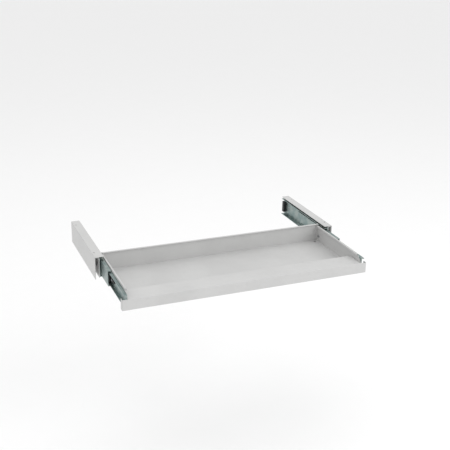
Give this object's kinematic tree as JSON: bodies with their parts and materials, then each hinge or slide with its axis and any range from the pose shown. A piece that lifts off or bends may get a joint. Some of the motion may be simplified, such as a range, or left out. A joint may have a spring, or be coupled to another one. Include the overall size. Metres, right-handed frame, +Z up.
{
  "type": "under desk drawer",
  "caption": "Shallow steel tray with a front panel and ledge, on ball slides in two brackets that screw up under a desk top.",
  "frame": {"origin": "on the desk's underside, in the middle of the four mounting holes", "axes": "+X to the user's right, +Y under the desk towards its back, +Z up; the drawer pulls out towards -Y and is stored part-way open"},
  "size_m": [0.622, 0.442, 0.056],
  "materials": {
    "powder_coat": "light grey powder coat, satin",
    "zinc": "zinc plate with a blue-green tint",
    "cage_steel": "plain pressed strip",
    "ball_steel": "polished and greased",
    "black_plastic": "moulded, satin",
    "fastener_steel": "zinc plated"
  },
  "bodies": {
    "root": {"bracket_left": "powder_coat", "bracket_right": "powder_coat", "slide_carrier_left": "powder_coat", "slide_carrier_right": "powder_coat", "cabinet_member_left": "zinc", "cabinet_member_right": "zinc", "rear_stop_left": "black_plastic", "rear_stop_right": "black_plastic", "carrier_screws": "fastener_steel", "carrier_nuts": "fastener_steel"},
    "drawer": {"tray": "powder_coat", "front_panel": "powder_coat", "panel_rivets": "fastener_steel", "tray_screws": "fastener_steel", "drawer_member_left": "zinc", "drawer_member_right": "zinc", "lever_rivet_left": "fastener_steel", "lever_rivet_right": "fastener_steel"},
    "middle_left": {"middle_member_left": "zinc", "middle_bumper_left": "black_plastic"},
    "outer_cage_left": {"outer_cage_left": "cage_steel", "outer_balls_left": "ball_steel"},
    "inner_cage_left": {"inner_cage_left": "cage_steel", "inner_balls_left": "ball_steel"},
    "lever_left": {"release_lever_left": "black_plastic"},
    "middle_right": {"middle_member_right": "zinc", "middle_bumper_right": "black_plastic"},
    "outer_cage_right": {"outer_cage_right": "cage_steel", "outer_balls_right": "ball_steel"},
    "inner_cage_right": {"inner_cage_right": "cage_steel", "inner_balls_right": "ball_steel"},
    "lever_right": {"release_lever_right": "black_plastic"}
  },
  "joints": [
    {"name": "drawer_slide", "type": "slide", "parent": "root", "child": "drawer", "axis": [0, 1, 0], "range_m": [-0.06, 0.18]},
    {"name": "middle_slide_left", "type": "slide", "parent": "root", "child": "middle_left", "axis": [0, 1, 0], "range_m": [-0.03, 0.09]},
    {"name": "outer_cage_slide_left", "type": "slide", "parent": "root", "child": "outer_cage_left", "axis": [0, 1, 0], "range_m": [-0.015, 0.045]},
    {"name": "inner_cage_slide_left", "type": "slide", "parent": "root", "child": "inner_cage_left", "axis": [0, 1, 0], "range_m": [-0.045, 0.135]},
    {"name": "lever_hinge_left", "type": "hinge", "parent": "drawer", "child": "lever_left", "pos_m": [-0.2903, -0.199, -0.028], "axis": [1, 0, 0], "range_deg": [-8, 8], "stiffness_Nm_per_rad": 0.02},
    {"name": "middle_slide_right", "type": "slide", "parent": "root", "child": "middle_right", "axis": [0, 1, 0], "range_m": [-0.03, 0.09]},
    {"name": "outer_cage_slide_right", "type": "slide", "parent": "root", "child": "outer_cage_right", "axis": [0, 1, 0], "range_m": [-0.015, 0.045]},
    {"name": "inner_cage_slide_right", "type": "slide", "parent": "root", "child": "inner_cage_right", "axis": [0, 1, 0], "range_m": [-0.045, 0.135]},
    {"name": "lever_hinge_right", "type": "hinge", "parent": "drawer", "child": "lever_right", "pos_m": [0.2903, -0.199, -0.028], "axis": [1, 0, 0], "range_deg": [-8, 8], "stiffness_Nm_per_rad": 0.02}
  ],
  "couplings": [
    {"joint": "middle_slide_left", "follows": "drawer_slide", "ratio": 0.5},
    {"joint": "outer_cage_slide_left", "follows": "drawer_slide", "ratio": 0.25},
    {"joint": "inner_cage_slide_left", "follows": "drawer_slide", "ratio": 0.75},
    {"joint": "middle_slide_right", "follows": "drawer_slide", "ratio": 0.5},
    {"joint": "outer_cage_slide_right", "follows": "drawer_slide", "ratio": 0.25},
    {"joint": "inner_cage_slide_right", "follows": "drawer_slide", "ratio": 0.75}
  ]
}
